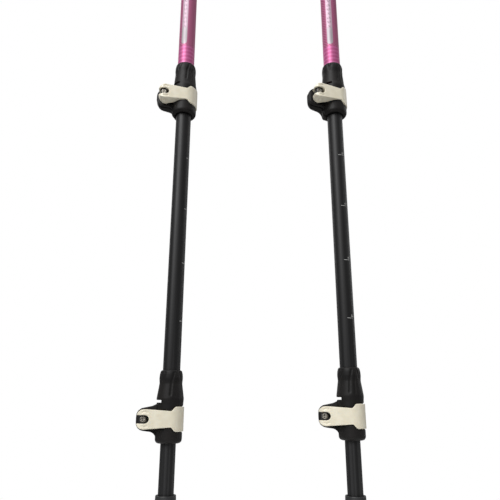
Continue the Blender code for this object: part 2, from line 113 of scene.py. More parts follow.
class Surface:
    """A material put together from nodes around one Principled shader."""

    def __init__(self, name, roughness=0.5, metallic=0.0):
        self.material = bpy.data.materials.new(name)
        self.material.use_nodes = True
        self.tree = self.material.node_tree
        self.shader = self.tree.nodes["Principled BSDF"]
        self.set("Roughness", roughness)
        self.set("Metallic", metallic)
        self.here = self.tree.nodes.new("ShaderNodeTexCoord").outputs["Object"]
        split = self.tree.nodes.new("ShaderNodeSeparateXYZ")
        self.fill(split.inputs[0], self.here)
        self.x, self.y, self.z = split.outputs

    def fill(self, socket, value):
        if isinstance(value, bpy.types.NodeSocket):
            self.tree.links.new(value, socket)
        else:
            socket.default_value = value

    def set(self, name, value):
        self.fill(self.shader.inputs[name], value)

    def math(self, operation, *values):
        made = self.tree.nodes.new("ShaderNodeMath")
        made.operation = operation
        for socket, value in zip(made.inputs, values):
            self.fill(socket, value)
        return made.outputs[0]

    def blur(self, value, low, high, to_low=0.0, to_high=1.0):
        """The value mapped smoothly from one range to another, and held at its ends."""
        made = self.tree.nodes.new("ShaderNodeMapRange")
        made.interpolation_type = "SMOOTHSTEP"
        for socket, number in zip(made.inputs, (value, low, high, to_low, to_high)):
            self.fill(socket, number)
        return made.outputs[0]

    def under(self, value, limit, softness):
        """1 where the value is under the limit and 0 where it is over it, with a soft step."""
        return self.blur(value, limit + softness, limit - softness)

    def over(self, value, limit, softness):
        """1 where the value is over the limit and 0 where it is under it, with a soft step."""
        return self.blur(value, limit - softness, limit + softness)

    def product(self, first, *others):
        for other in others:
            first = self.math("MULTIPLY", first, other)
        return first

    def distance(self, first, second):
        """How far a point is from the origin, from its two coordinates."""
        squares = [self.math("POWER", side, 2.0) for side in (first, second)]
        return self.math("SQRT", self.math("ADD", *squares))

    def drawn_out(self, share):
        """Coordinates that change slowly along Z, which draw a pattern out that way."""
        made = self.tree.nodes.new("ShaderNodeVectorMath")
        made.operation = "MULTIPLY"
        self.fill(made.inputs[0], self.here)
        made.inputs[1].default_value = (1.0, 1.0, share)
        return made.outputs[0]

    def noise(self, scale, detail=3.0, where=None):
        made = self.tree.nodes.new("ShaderNodeTexNoise")
        self.fill(made.inputs["Vector"], self.here if where is None else where)
        made.inputs["Scale"].default_value = scale
        made.inputs["Detail"].default_value = detail
        return made.outputs[0]

    def cells(self, scale):
        made = self.tree.nodes.new("ShaderNodeTexVoronoi")
        self.fill(made.inputs["Vector"], self.here)
        made.inputs["Scale"].default_value = scale
        return made.outputs["Distance"]

    def mix(self, share, first, second):
        made = self.tree.nodes.new("ShaderNodeMix")
        made.data_type = "RGBA"
        self.fill(made.inputs[0], share)
        self.fill(made.inputs[6], first)
        self.fill(made.inputs[7], second)
        return made.outputs[2]

    def wave(self, value, pitch):
        """0 to 1 and back over each pitch of a length in metres."""
        turn = self.math("MULTIPLY", value, 2 * math.pi / pitch)
        return self.math("MULTIPLY_ADD", self.math("SINE", turn), 0.5, 0.5)

    def azimuth(self):
        """The angle round the piece's own Z axis, in radians, 0 at its front."""
        return self.math("ARCTAN2", self.x, self.math("MULTIPLY", self.y, -1.0))

    def bump(self, height, depth):
        made = self.tree.nodes.new("ShaderNodeBump")
        made.inputs["Distance"].default_value = depth
        self.fill(made.inputs["Height"], height)
        self.set("Normal", made.outputs[0])

    def grain(self, scale, depth):
        self.bump(self.noise(scale), depth)

    def rough(self, share, lowest, spread):
        """A roughness from the lowest up, by as much of the spread as the share says."""
        self.set("Roughness", self.math("MULTIPLY_ADD", share, spread, lowest))


def moulding(name, dark, light, roughness, grain_scale, grain_depth, gloss=0.5):
    """Moulded plastic or rubber: a faintly uneven colour, a fine grain and scuffed patches."""
    made = Surface(name)
    patches = made.blur(made.noise(scale=55.0, detail=4.0), 0.35, 0.7)
    made.set("Base Color", made.mix(patches, dark, light))
    scuffs = made.blur(made.noise(scale=420.0, detail=5.0), 0.5, 0.8)
    made.rough(scuffs, lowest=roughness, spread=0.12)
    made.set("Specular IOR Level", gloss)
    made.grain(grain_scale, grain_depth)
    return made


def anodised_rose(made, across):
    """Rings just above the lock and a fine cross hatch from there up: its colour and its relief."""
    hatch_pitch = 3.1 * MM
    rising = made.wave(made.math("ADD", across, made.z), hatch_pitch)
    falling = made.wave(made.math("SUBTRACT", across, made.z), hatch_pitch)
    fainter = made.math("MULTIPLY", falling, 0.8)
    hatch = made.blur(made.math("MAXIMUM", rising, fainter), 0.5, 0.95)
    hatched = made.mix(hatch, rgb(138, 56, 92), rgb(186, 110, 146))

    ring_pitch = 4.3 * MM
    rings = made.blur(made.wave(made.z, ring_pitch), 0.3, 1.0)
    ringed = made.mix(rings, rgb(172, 76, 126), rgb(188, 100, 148))

    rings_end = 20.0 * MM
    ring_share = made.under(made.z, rings_end, 0.4 * MM)
    return made.mix(ring_share, hatched, ringed), made.mix(ring_share, hatch, rings)


def printed_silver(made, across):
    """Silver with generic printing: slanting strokes in rows, and a column of dashes below them."""
    strokes_low = 41.2 * MM
    row_pitch = 5.2 * MM
    stroke_pitch = 2.3 * MM
    upper = made.over(made.z, strokes_low, 0.2 * MM)
    slanting = made.math("MULTIPLY_ADD", made.z, 0.6, across)
    strokes = made.product(
        made.blur(made.wave(made.z, row_pitch), 0.3, 0.4),
        made.blur(made.wave(slanting, stroke_pitch), 0.35, 0.55),
        made.under(made.math("ABSOLUTE", across), 1.75 * MM, 0.15 * MM),
        upper,
    )

    dashes_low = 26.2 * MM
    dashes_high = 38.2 * MM
    dash_pitch = 1.3 * MM
    column = made.math("SUBTRACT", across, 0.6 * MM)
    dashes = made.product(
        made.blur(made.wave(made.z, dash_pitch), 0.5, 0.7),
        made.under(made.math("ABSOLUTE", column), 1.0 * MM, 0.1 * MM),
        made.over(made.z, dashes_low, 0.2 * MM),
        made.under(made.z, dashes_high, 0.2 * MM),
    )

    printing = made.math("MAXIMUM", strokes, made.math("MULTIPLY", dashes, 0.6))
    silver = made.mix(upper, rgb(152, 145, 150), rgb(176, 152, 166))
    return made.mix(made.math("MULTIPLY", printing, 0.8), silver, rgb(84, 62, 74))


def upper_tube_surface():
    """Anodised rose, with a silver band up one side that starts in a round end."""
    made = Surface("magenta_tube", metallic=0.35)
    across = made.math("MULTIPLY", made.azimuth(), UPPER_RADIUS * MM)
    rose, relief = anodised_rose(made, across)

    band_low = 22.0 * MM
    band_half = 2.95 * MM
    below = made.math("MINIMUM", made.math("SUBTRACT", made.z, band_low + band_half), 0.0)
    band = made.under(made.distance(across, below), band_half, 0.12 * MM)
    made.set("Base Color", made.mix(band, rose, printed_silver(made, across)))

    made.rough(made.noise(900.0, where=made.drawn_out(0.08)), lowest=0.42, spread=0.14)
    made.bump(made.math("MULTIPLY", relief, made.math("SUBTRACT", 1.0, band)), 0.02 * MM)
    return made


def lower_tubes_surface():
    """Black anodised tube, drawn lengthwise, with faint bright rubs where it slides."""
    made = Surface("black_tube", metallic=0.35)
    drawn = made.noise(1500.0, 4.0, where=made.drawn_out(0.012))
    rubs = made.blur(made.noise(420.0, 2.0, where=made.drawn_out(0.006)), 0.45, 0.7)
    made.set("Base Color", made.mix(rubs, rgb(20, 20, 21), rgb(44, 44, 45)))
    made.rough(drawn, lowest=0.42, spread=0.2)
    made.bump(drawn, 0.012 * MM)
    return made


def lever_surface():
    """Ivory moulding, softly mottled, with a few darker specks and a fine spark grain."""
    made = Surface("ivory_lever")
    mottle = made.blur(made.noise(160.0, 4.0), 0.3, 0.75)
    colour = made.mix(mottle, rgb(222, 215, 194), rgb(231, 225, 206))
    specks = made.blur(made.noise(1300.0, 2.0), 0.7, 0.82)
    made.set("Base Color", made.mix(made.math("MULTIPLY", specks, 0.5), colour, rgb(196, 189, 170)))
    made.rough(mottle, lowest=0.34, spread=0.1)
    made.set("Subsurface Weight", 0.08)
    made.set("Subsurface Radius", (1.2 * MM, 0.9 * MM, 0.6 * MM))
    made.grain(1800.0, 0.012 * MM)
    return made


def steel_surface():
    """Zinc-plated steel with fine turning marks."""
    made = Surface("bright_steel", metallic=1.0)
    marks = made.noise(2600.0)
    made.set("Base Color", made.mix(marks, rgb(132, 128, 120), rgb(178, 174, 164)))
    made.rough(marks, lowest=0.28, spread=0.2)
    made.bump(marks, 0.008 * MM)
    return made


def foam_surface():
    """Closed-cell foam, its skin full of small pores."""
    made = Surface("black_foam", roughness=0.92)
    pores = made.cells(950.0)
    tone = made.blur(made.noise(60.0, 4.0), 0.3, 0.75)
    made.set("Base Color", made.mix(tone, rgb(34, 34, 35), rgb(54, 54, 55)))
    dents = made.math("MULTIPLY", made.noise(380.0), 0.8)
    made.bump(made.math("ADD", pores, dents), 0.16 * MM)
    made.set("Sheen Weight", 0.25)
    made.set("Sheen Roughness", 0.5)
    return made


def webbing_surface():
    """Woven nylon tape: ribs of weft across it, a herringbone over them and warp ends along it."""
    made = Surface("black_webbing", roughness=0.85)
    uv = made.tree.nodes.new("ShaderNodeUVMap")
    uv.uv_map = "tape"
    split = made.tree.nodes.new("ShaderNodeSeparateXYZ")
    made.fill(split.inputs[0], uv.outputs[0])
    along, across = split.outputs[0], split.outputs[1]

    weft_pitch = 1.5 * MM
    warp_pitch = 1.1 * MM
    twill_pitch = 2.2 * MM
    herringbone_width = 4.4 * MM
    zigzag = made.math("ADD", along, made.math("PINGPONG", across, herringbone_width))
    ribs = made.math("MAXIMUM", made.wave(along, weft_pitch), made.wave(zigzag, twill_pitch))
    ends = made.math("MULTIPLY_ADD", made.wave(across, warp_pitch), 0.6, 0.4)
    weave = made.math("MULTIPLY", ribs, ends)
    fuzz = made.noise(2400.0, 2.0)
    made.set("Base Color", made.mix(weave, rgb(18, 18, 19), rgb(52, 52, 54)))
    made.bump(made.math("MULTIPLY_ADD", fuzz, 0.3, weave), 0.22 * MM)
    made.set("Sheen Weight", 0.35)
    made.set("Sheen Roughness", 0.4)
    return made


def print_surface():
    """Pale ink on the scales, worn through in small spots."""
    made = Surface("white_scale_print")
    worn = made.math("MULTIPLY", made.blur(made.noise(3200.0), 0.58, 0.75), 0.55)
    made.set("Base Color", made.mix(worn, rgb(176, 176, 174), rgb(110, 110, 110)))
    return made


# A moulding's name, its dark and light colours, its roughness, its grain's fineness and depth, and
# for the housing its gloss
SURFACES = {
    "upper_tube": upper_tube_surface(),
    "lower_tubes": lower_tubes_surface(),
    "housing": moulding("black_housing", rgb(17, 16, 16), rgb(29, 27, 26), 0.52, 1500.0, 0.05 * MM, 0.2),
    "lever": lever_surface(),
    "barrel": moulding("dark_acetal", rgb(24, 24, 25), rgb(36, 36, 37), 0.38, 1800.0, 0.01 * MM),
    "steel": steel_surface(),
    "bushing": moulding("grey_acetal", rgb(104, 104, 104), rgb(126, 126, 124), 0.42, 1500.0, 0.02 * MM),
    "grip": moulding("grip_rubber", rgb(30, 30, 31), rgb(44, 44, 45), 0.66, 1100.0, 0.08 * MM),
    "foam": foam_surface(),
    "cap": moulding("black_hard_plastic", rgb(26, 26, 27), rgb(38, 38, 39), 0.36, 1300.0, 0.03 * MM),
    "webbing": webbing_surface(),
    "thread": moulding("grey_thread", rgb(88, 88, 92), rgb(128, 128, 132), 0.7, 4200.0, 0.06 * MM),
    "tip": moulding("tip_plastic", rgb(28, 28, 29), rgb(42, 42, 43), 0.42, 1200.0, 0.04 * MM),
    "mark": print_surface(),
}


# Meshes, in millimetres in a piece's own frame until placed() scales them


def turned(profile, segments=FINE):
    """A closed (radius, height) profile turned about the Z axis. A radius of 0 is one point."""
    shape = bmesh.new()
    rings = []
    for radius, height in profile:
        if radius == 0:
            rings.append([shape.verts.new((0, 0, height))] * segments)
            continue
        ring = []
        for i in range(segments):
            angle = 2 * math.pi * i / segments
            ring.append(shape.verts.new((radius * math.cos(angle), radius * math.sin(angle), height)))
        rings.append(ring)
    for i, ring in enumerate(rings):
        above = rings[(i + 1) % len(rings)]
        for j in range(segments):
            after = (j + 1) % segments
            corners = list(dict.fromkeys((ring[j], ring[after], above[after], above[j])))
            if len(corners) > 2:
                shape.faces.new(corners)
    return finished(shape)


def finished(shape):
    """The mesh of a shape, with its faces pointing out."""
    bmesh.ops.recalc_face_normals(shape, faces=shape.faces)
    mesh = bpy.data.meshes.new("shape")
    shape.to_mesh(mesh)
    shape.free()
    return mesh


def rounded(profile, radius):
    """The closed profile with its corners cut to short arcs, as a moulding or a lathe leaves them."""
    steps = 3
    result = []
    for i, corner in enumerate(profile):
        here = Vector(corner)
        before = Vector(profile[i - 1]) - here
        after = Vector(profile[(i + 1) % len(profile)]) - here
        if here.x == 0 or before.length == 0 or after.length == 0:
            result.append(corner)
            continue
        reach = min(radius, 0.45 * before.length, 0.45 * after.length)
        start = here + before.normalized() * reach
        end = here + after.normalized() * reach
        for step in range(steps + 1):
            t = step / steps
            result.append(tuple((1 - t) ** 2 * start + 2 * t * (1 - t) * here + t ** 2 * end))
    return result


def smoothstep(value, low, high):
    """0 up to low, 1 from high on, and a smooth rise between them."""
    share = np.clip((value - low) / (high - low), 0.0, 1.0)
    return share * share * (3 - 2 * share)


def points_of(mesh):
    """The mesh's points, one row each."""
    points = np.empty(len(mesh.vertices) * 3, np.float32)
    mesh.vertices.foreach_get("co", points)
    return points.reshape(-1, 3).astype(float)


def with_points(mesh, points):
    """The mesh with its points moved to these rows."""
    mesh.vertices.foreach_set("co", points.astype(np.float32).ravel())
    mesh.update()
    return mesh


def baked(mesh, *modifiers):
    """The mesh after these modifiers, each a type and its settings."""
    helper = bpy.data.objects.new("helper", mesh)
    bpy.context.scene.collection.objects.link(helper)
    for kind, settings in modifiers:
        modifier = helper.modifiers.new(kind.lower(), kind)
        for name, value in settings.items():
            setattr(modifier, name, value)
    bpy.context.view_layer.update()
    evaluated = helper.evaluated_get(bpy.context.evaluated_depsgraph_get())
    result = bpy.data.meshes.new_from_object(evaluated)
    bpy.data.objects.remove(helper)
    return result


def softened(node, placement, voxel, passes, reshape=None, early_passes=0):
    """A CAD node's mesh in its own frame, in millimetres, its edges rounded as a mould leaves them.

    The early passes come before the reshaping, so that they round the form but not its fine relief.
    """
    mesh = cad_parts[node].data.copy()
    mesh.transform(Matrix.Scale(1 / MM, 4) @ placement.inverted())
    welded = bmesh.new()
    welded.from_mesh(mesh)
    touching = 0.001
    bmesh.ops.remove_doubles(welded, verts=welded.verts, dist=touching)
    welded.to_mesh(mesh)
    welded.free()
    mesh = baked(mesh, ("REMESH", {"mode": "VOXEL", "voxel_size": voxel}),
                 ("SMOOTH", {"factor": 0.5, "iterations": early_passes}))
    if reshape:
        with_points(mesh, reshape(points_of(mesh)))
    return baked(mesh, ("SMOOTH", {"factor": 0.5, "iterations": passes}))


def placed(name, mesh, surface, placement, body, *nodes, slot=None):
    """One named piece, from its mesh in millimetres: where its own frame is and what it rides on."""
    mesh.transform(Matrix.Scale(MM, 4))
    mesh.materials.clear()
    mesh.materials.append(SURFACES[surface].material)
    mesh.shade_smooth()
    piece = bpy.data.objects.new(name, mesh)
    bpy.context.scene.collection.objects.link(piece)
    piece.matrix_world = placement
    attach(piece, body)
    if nodes:
        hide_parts(*nodes)
    return piece


def frame_at(x, z, turn=0.0):
    """A piece's own frame on a pole's axis, x and z in millimetres, turned about Z in degrees."""
    return Matrix.Translation((x * MM, 0, z * MM)) @ Matrix.Rotation(math.radians(turn), 4, "Z")


# Locks


def round_again(points, limit):
    """Turns the CAD's many-sided rings into true circles, out to a radius."""
    radius = np.hypot(points[:, 0], points[:, 1])
    side = 2 * math.pi / RING_SEGMENTS
    offset = np.mod(np.arctan2(points[:, 1], points[:, 0]), side) - side / 2
    grown = np.cos(offset) / math.cos(side / 2)
    fade_low, fade_high = limit + 0.1, limit + 1.2
    share = 1 - smoothstep(radius, fade_low, fade_high)
    factor = 1 + (grown - 1) * share
    points[:, 0] *= factor
    points[:, 1] *= factor
    return points


def pressed(place, depth, centre_line, width):
    """How deep a groove along a line is at each point. place holds the points' two coordinates."""
    nearest = np.full(len(place), np.inf)
    for start, end in zip(centre_line, centre_line[1:]):
        start, end = np.array(start), np.array(end)
        along = end - start
        share = np.clip(((place - start) @ along) / (along @ along), 0, 1)
        reach = np.linalg.norm(place - start - share[:, None] * along, axis=1)
        nearest = np.minimum(nearest, reach)
    flat_bottom = 0.25 * width
    return depth * (1 - smoothstep(nearest, flat_bottom, width))


def sunk_towards_axis(points, depth):
    """The points moved straight towards the Z axis by a depth for each."""
    radius = np.hypot(points[:, 0], points[:, 1])
    points[:, :2] *= (1 - depth / np.maximum(radius, 1.0))[:, None]
    return points


def housing_shape(size):
    """Round rings, and the neck's slanting creases pressed into its front and back."""
    # Each crease runs through three points, their azimuths in degrees and heights in millimetres
    creases = (
        [(24, 53), (13, 46), (9, 36)],
        [(44, 52), (36, 43), (33, 34)],
        [(-46, 53), (-38, 47), (-24, 53)],
        [(52, 54), (64, 47), (78, 53)],
        [(150, 53), (162, 45), (168, 35)],
        [(-150, 53), (-162, 45), (-168, 35)],
    )
    crease_depth = 0.42
    crease_width = 1.3
    neck = size["neck"]
    neck_low = 33.5
    skin = 1.3

    def reshape(points):
        points = round_again(points, size["ring"])
        radius = np.hypot(points[:, 0], points[:, 1])
        azimuth = np.arctan2(points[:, 0], -points[:, 1])
        place = np.column_stack((azimuth * neck, points[:, 2]))
        sunk = np.zeros(len(points))
        for crease in creases:
            line = [(math.radians(angle) * neck, height) for angle, height in crease]
            sunk = np.maximum(sunk, pressed(place, crease_depth, line, crease_width))
        outside = smoothstep(radius, neck - skin, neck - skin + 0.5)
        above = smoothstep(points[:, 2], neck_low, neck_low + 2.5)
        return sunk_towards_axis(points, sunk * outside * above)

    return reshape


def lever_shape(points):
    """A crescent dimple above and below the screw slot on the lever's front."""
    dimple_depth = 0.4
    dimple_width = 0.85
    half_length = 2.0
    end_rise, crest_rise = 5.0, 5.45
    middle_x = PIVOT_X + 1.9
    front = smoothstep(-points[:, 1], 9.0, 11.0)
    sunk = np.zeros(len(points))
    for side in (-1, 1):
        end_z = LEVER_HEIGHT + side * end_rise
        crest_z = LEVER_HEIGHT + side * crest_rise
        line = [(middle_x - half_length, end_z), (middle_x, crest_z), (middle_x + half_length, end_z)]
        sunk = np.maximum(sunk, pressed(points[:, (0, 2)], dimple_depth, line, dimple_width))
    points[:, 1] += sunk * front
    return points


def build_lock(side, pole, which, rim, section):
    """The lock's visible mouldings, rounded off, and its screw with a crisp head."""
    lock = f"{side}_{which}"
    placement = frame_at(pole["axis"], rim, pole[which + "_turn"])
    reshape = housing_shape(LOCK_SIZES[which])
    housing = softened(lock + "_housing", placement, voxel=0.4, passes=5, reshape=reshape)
    placed(lock + "_lock_moulding", housing, "housing", placement, section,
           lock + "_housing", slot="black_housing")
    lever = softened(lock + "_lever", placement, voxel=0.3, passes=5, reshape=lever_shape)
    placed(lock + "_lever_moulding", lever, "lever", placement, lock + "_lever",
           lock + "_lever", slot="ivory_lever")
    screw = softened(lock + "_screw", placement, voxel=0.13, passes=2)
    placed(lock + "_cross_head_screw", screw, "steel", placement, lock + "_screw",
           lock + "_screw", slot="bright_steel")


# Tubes and their scales


def tube(radius, length):
    """A tube up from its own origin, with its ends' edges broken."""
    inner = radius - TUBE_WALL
    edge = 0.2
    runs = 24
    profile = [(inner, edge), (inner + edge, 0), (radius - edge, 0), (radius, edge)]
    profile += [(radius, length * i / runs) for i in range(1, runs)]
    profile += [(radius, length - edge), (radius - edge, length)]
    profile += [(inner + edge, length), (inner, length - edge)]
    return turned(profile)


def wrapped(mesh, radius):
    """A flat mesh in x and z, y its height above the surface, laid round a tube's front."""
    points = points_of(mesh)
    angle = points[:, 0] / radius
    reach = radius + points[:, 1]
    points = np.column_stack((reach * np.sin(angle), -reach * np.cos(angle), points[:, 2]))
    return with_points(mesh, points)


def number(text, x, z, height, proud):
    """A number as a thin solid, reading up the tube with its middle at x and z."""
    curve = bpy.data.curves.new("number", "FONT")
    curve.body = text
    curve.size = height
    curve.extrude = proud
    curve.align_x = "CENTER"
    curve.align_y = "CENTER"
    helper = bpy.data.objects.new("number", curve)
    bpy.context.scene.collection.objects.link(helper)
    bpy.context.view_layer.update()
    evaluated = helper.evaluated_get(bpy.context.evaluated_depsgraph_get())
    mesh = bpy.data.meshes.new_from_object(evaluated)
    bpy.data.objects.remove(helper)
    points = points_of(mesh)
    upright = np.column_stack((x - points[:, 1], points[:, 2], z + points[:, 0]))
    return with_points(mesh, upright)


def bar(x_low, x_high, z, thickness, proud):
    """One tick as a thin solid, cut into short runs so that it can bend round the tube."""
    shape = bmesh.new()
    half = thickness / 2
    runs = 8
    corners = ((-proud, -half), (proud, -half), (proud, half), (-proud, half))
    rings = []
    for x in np.linspace(x_low, x_high, runs + 1):
        rings.append([shape.verts.new((x, y, z + up)) for y, up in corners])
    shape.faces.new(rings[0])
    shape.faces.new(rings[-1])
    for ring, after in zip(rings, rings[1:]):
        for j in range(4):
            k = (j + 1) % 4
            shape.faces.new((ring[j], ring[k], after[k], after[j]))
    return finished(shape)


def joined(meshes):
    """All the meshes as one, with points that touch made one."""
    shape = bmesh.new()
    for mesh in meshes:
        shape.from_mesh(mesh)
    touching = 0.0005
    bmesh.ops.remove_doubles(shape, verts=shape.verts, dist=touching)
    return finished(shape)


def scale(radius, first_height):
    """A tube's ticks, with their lengths in centimetres beside them."""
    proud = 0.07
    tick_low, tick_high, tick_thickness = -2.6, 0.7, 0.42
    number_x, number_rise, number_height = 1.9, 1.2, 2.3
    meshes = []
    for i in range(MARKS):
        height = first_height + MARK_SPACING * i
        text = str(FIRST_NUMBER + MARK_SPACING // 10 * i)
        meshes.append(number(text, number_x, height + number_rise, number_height, proud))
        meshes.append(bar(tick_low, tick_high, height, tick_thickness, proud))
    return wrapped(joined(meshes), radius)


def build_tubes(side, pole):
    """The three tubes, each turned so that its band or its scale faces the right way."""
    axis = pole["axis"]
    upper_section = side + "_upper_section"
    middle_section = side + "_middle_section"
    lower_section = side + "_lower_section"

    neck = UPPER_LOCK_RIM + NECK_TOP
    low = UPPER_LOCK_RIM + TUBE_SEAT
    upper_frame = frame_at(axis, neck, pole["band"])
    upper = tube(UPPER_RADIUS, UPPER_TUBE_TOP - low)
    upper.transform(Matrix.Translation((0, 0, low - neck)))
    placed(side + "_upper_tube_anodised", upper, "upper_tube", upper_frame, upper_section,
           side + "_upper_tube", slot="magenta_tube")

    middle_frame = frame_at(axis, pole["lower_rim"] + TUBE_SEAT, pole["middle_scale"])
    middle = tube(MIDDLE_RADIUS, MIDDLE_LENGTH)
    placed(side + "_middle_tube_drawn", middle, "lower_tubes", middle_frame, middle_section,
           side + "_middle_tube", slot="black_tube")
    middle_scale = scale(MIDDLE_RADIUS, MIDDLE_FIRST_MARK - TUBE_SEAT)
    placed(side + "_middle_scale", middle_scale, "mark", middle_frame, middle_section)

    lower_frame = frame_at(axis, LOWER_TUBE_LOW, pole["lower_scale"])
    lower = tube(LOWER_RADIUS, LOWER_TUBE_TOP - LOWER_TUBE_LOW)
    placed(side + "_lower_tube_drawn", lower, "lower_tubes", lower_frame, lower_section,
           side + "_lower_tube", slot="black_tube")
    lower_scale = scale(LOWER_RADIUS, LOWER_FIRST_MARK)
    placed(side + "_lower_scale", lower_scale, "mark", lower_frame, lower_section)


# Tip


def tip_profile():
    """The socket with its grip ribs, the basket's seat and the slender cone, outside then inside."""
    profile = [(2.4, 12), (3.6, 12), (4.2, 22), (4.9, 38), (5.0, 50.3), (6.4, 50.3)]
    profile += [(6.6, 56), (7.0, 62)]
    ribs = 5
    first_rib = 65
    rib_pitch = 4.2
    rib_depth = 0.35
    for i in range(ribs):
        height = first_rib + rib_pitch * i
        swell = 7.2 + 0.14 * i
        profile += [(swell, height), (swell - rib_depth, height + 0.9)]
        profile += [(swell - rib_depth, height + 1.8), (swell, height + 2.7)]
    profile += [(8.0, 90), (7.8, TIP_TOP), (6.2, TIP_TOP), (6.2, 67.7)]
    profile += [(3.0, 67.7), (3.0, 34), (2.4, 34)]
    return profile


def basket_mesh():
    """A shallow saucer with a rolled rim, a hub and six round windows."""
    bore = 5.3
    edge = 27.0
    profile = [(bore, -4), (bore + 2.2, -4), (bore + 2.4, -0.6), (edge - 3, 2.6), (edge, 3.2)]
    profile += [(edge, 5.4), (edge - 3.4, 4.8), (bore + 2.6, 1.6), (bore + 2.2, 7), (bore, 7)]
    saucer = turned(profile)

    windows = 6
    window_radius = 4.4
    window_circle = 16.4
    cutters = bmesh.new()
    for i in range(windows):
        angle = 2 * math.pi * (i + 0.5) / windows
        middle = (window_circle * math.cos(angle), window_circle * math.sin(angle), 5)
        bmesh.ops.create_cone(cutters, cap_ends=True, segments=32, radius1=window_radius,
                              radius2=window_radius, depth=30, matrix=Matrix.Translation(middle))
    cutter = bpy.data.objects.new("windows", finished(cutters))
    bpy.context.scene.collection.objects.link(cutter)
    saucer = baked(saucer, ("BOOLEAN", {"operation": "DIFFERENCE", "object": cutter}),
                   ("REMESH", {"mode": "VOXEL", "voxel_size": 0.4}),
                   ("SMOOTH", {"factor": 0.5, "iterations": 3}))
    bpy.data.objects.remove(cutter)
    return saucer


def build_tip(side, pole):
    """What is at a pole's foot: the flexible tip, its basket and its carbide insert."""
    section = side + "_lower_section"
    placement = frame_at(pole["axis"], 0)
    tip = turned(rounded(tip_profile(), 0.4))
    placed(side + "_flex_tip_moulding", tip, "tip", placement, section,
           side + "_flex_tip", slot="tip_plastic")
    basket_frame = frame_at(pole["axis"], BASKET_HEIGHT)
    placed(side + "_basket_moulding", basket_mesh(), "tip", basket_frame, section,
           side + "_basket", slot="tip_plastic")
    profile = [(0, 0.5), (0.8, 0.35), (1.5, 0), (1.8, 0.1), (2.2, 1.2), (2.2, 30), (0, 30)]
    insert = turned(rounded(profile, 0.15), segments=48)
    placed(side + "_carbide_insert", insert, "steel", placement, section,
           side + "_carbide_tip", slot="carbide")


# Grip and strap


def grip_shape(points):
    """Crossed grooves round the handle, over the length that the palm holds."""
    groove_count = 14
    groove_depth = 0.4
    palm_radius = 14.0
    palm_low, palm_high = 17, 99
    fade = 7
    around = np.arctan2(points[:, 1], points[:, 0]) * palm_radius
    pitch = 2 * math.pi * palm_radius / groove_count
    rising = np.abs(np.mod(around + points[:, 2], pitch) - pitch / 2)
    falling = np.abs(np.mod(around - points[:, 2], pitch) - pitch / 2)
    groove = 1 - smoothstep(np.minimum(rising, falling), 0.35, 0.9)
    starts = smoothstep(points[:, 2], palm_low, palm_low + fade)
    ends = 1 - smoothstep(points[:, 2], palm_high - fade, palm_high)
    outside = smoothstep(np.hypot(points[:, 0], points[:, 1]), 10, 12)
    return sunk_towards_axis(points, groove_depth * groove * starts * ends * outside)


def foam_profile():
    """The sleeve's ribs, each a soft swelling between shallow channels."""
    bore = 8.3
    outside = 14.0
    low, high = FOAM_BOTTOM - GRIP_BOTTOM, -0.3
    profile = [(bore, low), (12.2, low), (13.2, low + 0.8), (13.9, low + 2.4)]
    ribs = 7
    channel_depth = 0.7
    steps = 60
    for i in range(1, steps):
        share = i / steps
        height = low + 2.4 + (high - low - 4.0) * share
        channel = max(0.0, math.cos(2 * math.pi * ribs * share)) ** 3
        profile.append((outside - channel_depth * channel, height))
    return profile + [(13.9, high - 0.9), (13.4, high), (bore, high)]


def arc(centre, radius, first, last, count):
    """Points along an arc, its angles in degrees."""
    angles = np.radians(np.linspace(first, last, count))
    return [(centre[0] + radius * math.cos(a), centre[1] + radius * math.sin(a)) for a in angles]


def strap_path():
    """The tape's middle line, closed: down one strand, round the wrist loop and over the pin."""
    strand = WEBBING / 2 + 0.03
    points = [(-strand, -9), (-strand, -20), (-strand, -32), (-0.9, -42), (-0.9, -70), (0.0, -110)]
    points += arc(centre=(19.5, -150), radius=18, first=184, last=356, count=9)
    points += [(37.0, -134), (34.6, -110), (31.2, -88), (25.2, -68), (17.2, -52), (7.0, -40.5)]
    points += [(strand + 0.5, -33), (strand, -24), (strand, -9)]
    points += arc(centre=(0, 0), radius=2.6, first=-30, last=210, count=11)
    return points


def smooth_loop(points, spacing):
    """A closed Catmull-Rom curve through the points, read off at even spacing, and its length."""
    points_between = 24
    dense = []
    for i in range(len(points)):
        before, start, end, after = (np.array(points[(i + k) % len(points)]) for k in (-1, 0, 1, 2))
        speed = end - before
        bend = 2 * before - 5 * start + 4 * end - after
        twist = 3 * start - before - 3 * end + after
        for t in np.linspace(0, 1, points_between, endpoint=False):
            dense.append(0.5 * (2 * start + speed * t + bend * t ** 2 + twist * t ** 3))
    dense = np.array(dense + [dense[0]])
    steps = np.linalg.norm(np.diff(dense, axis=0), axis=1)
    lengths = np.concatenate(([0], np.cumsum(steps)))
    wanted = np.linspace(0, lengths[-1], int(lengths[-1] / spacing), endpoint=False)
    even = np.column_stack([np.interp(wanted, lengths, dense[:, k]) for k in (0, 1)])
    return even, lengths[-1]


def tape_section():
    """The tape's outline across its length, thinner at its two edges."""
    corners = ((1, 0), (0.93, 0.6), (0.86, 0.95), (0.5, 1), (0, 1), (-0.5, 1), (-0.86, 0.95),
               (-0.93, 0.6))
    section = [(across * STRAP_WIDTH / 2, depth * WEBBING / 2) for across, depth in corners]
    return section + [(-across, -depth) for across, depth in section]


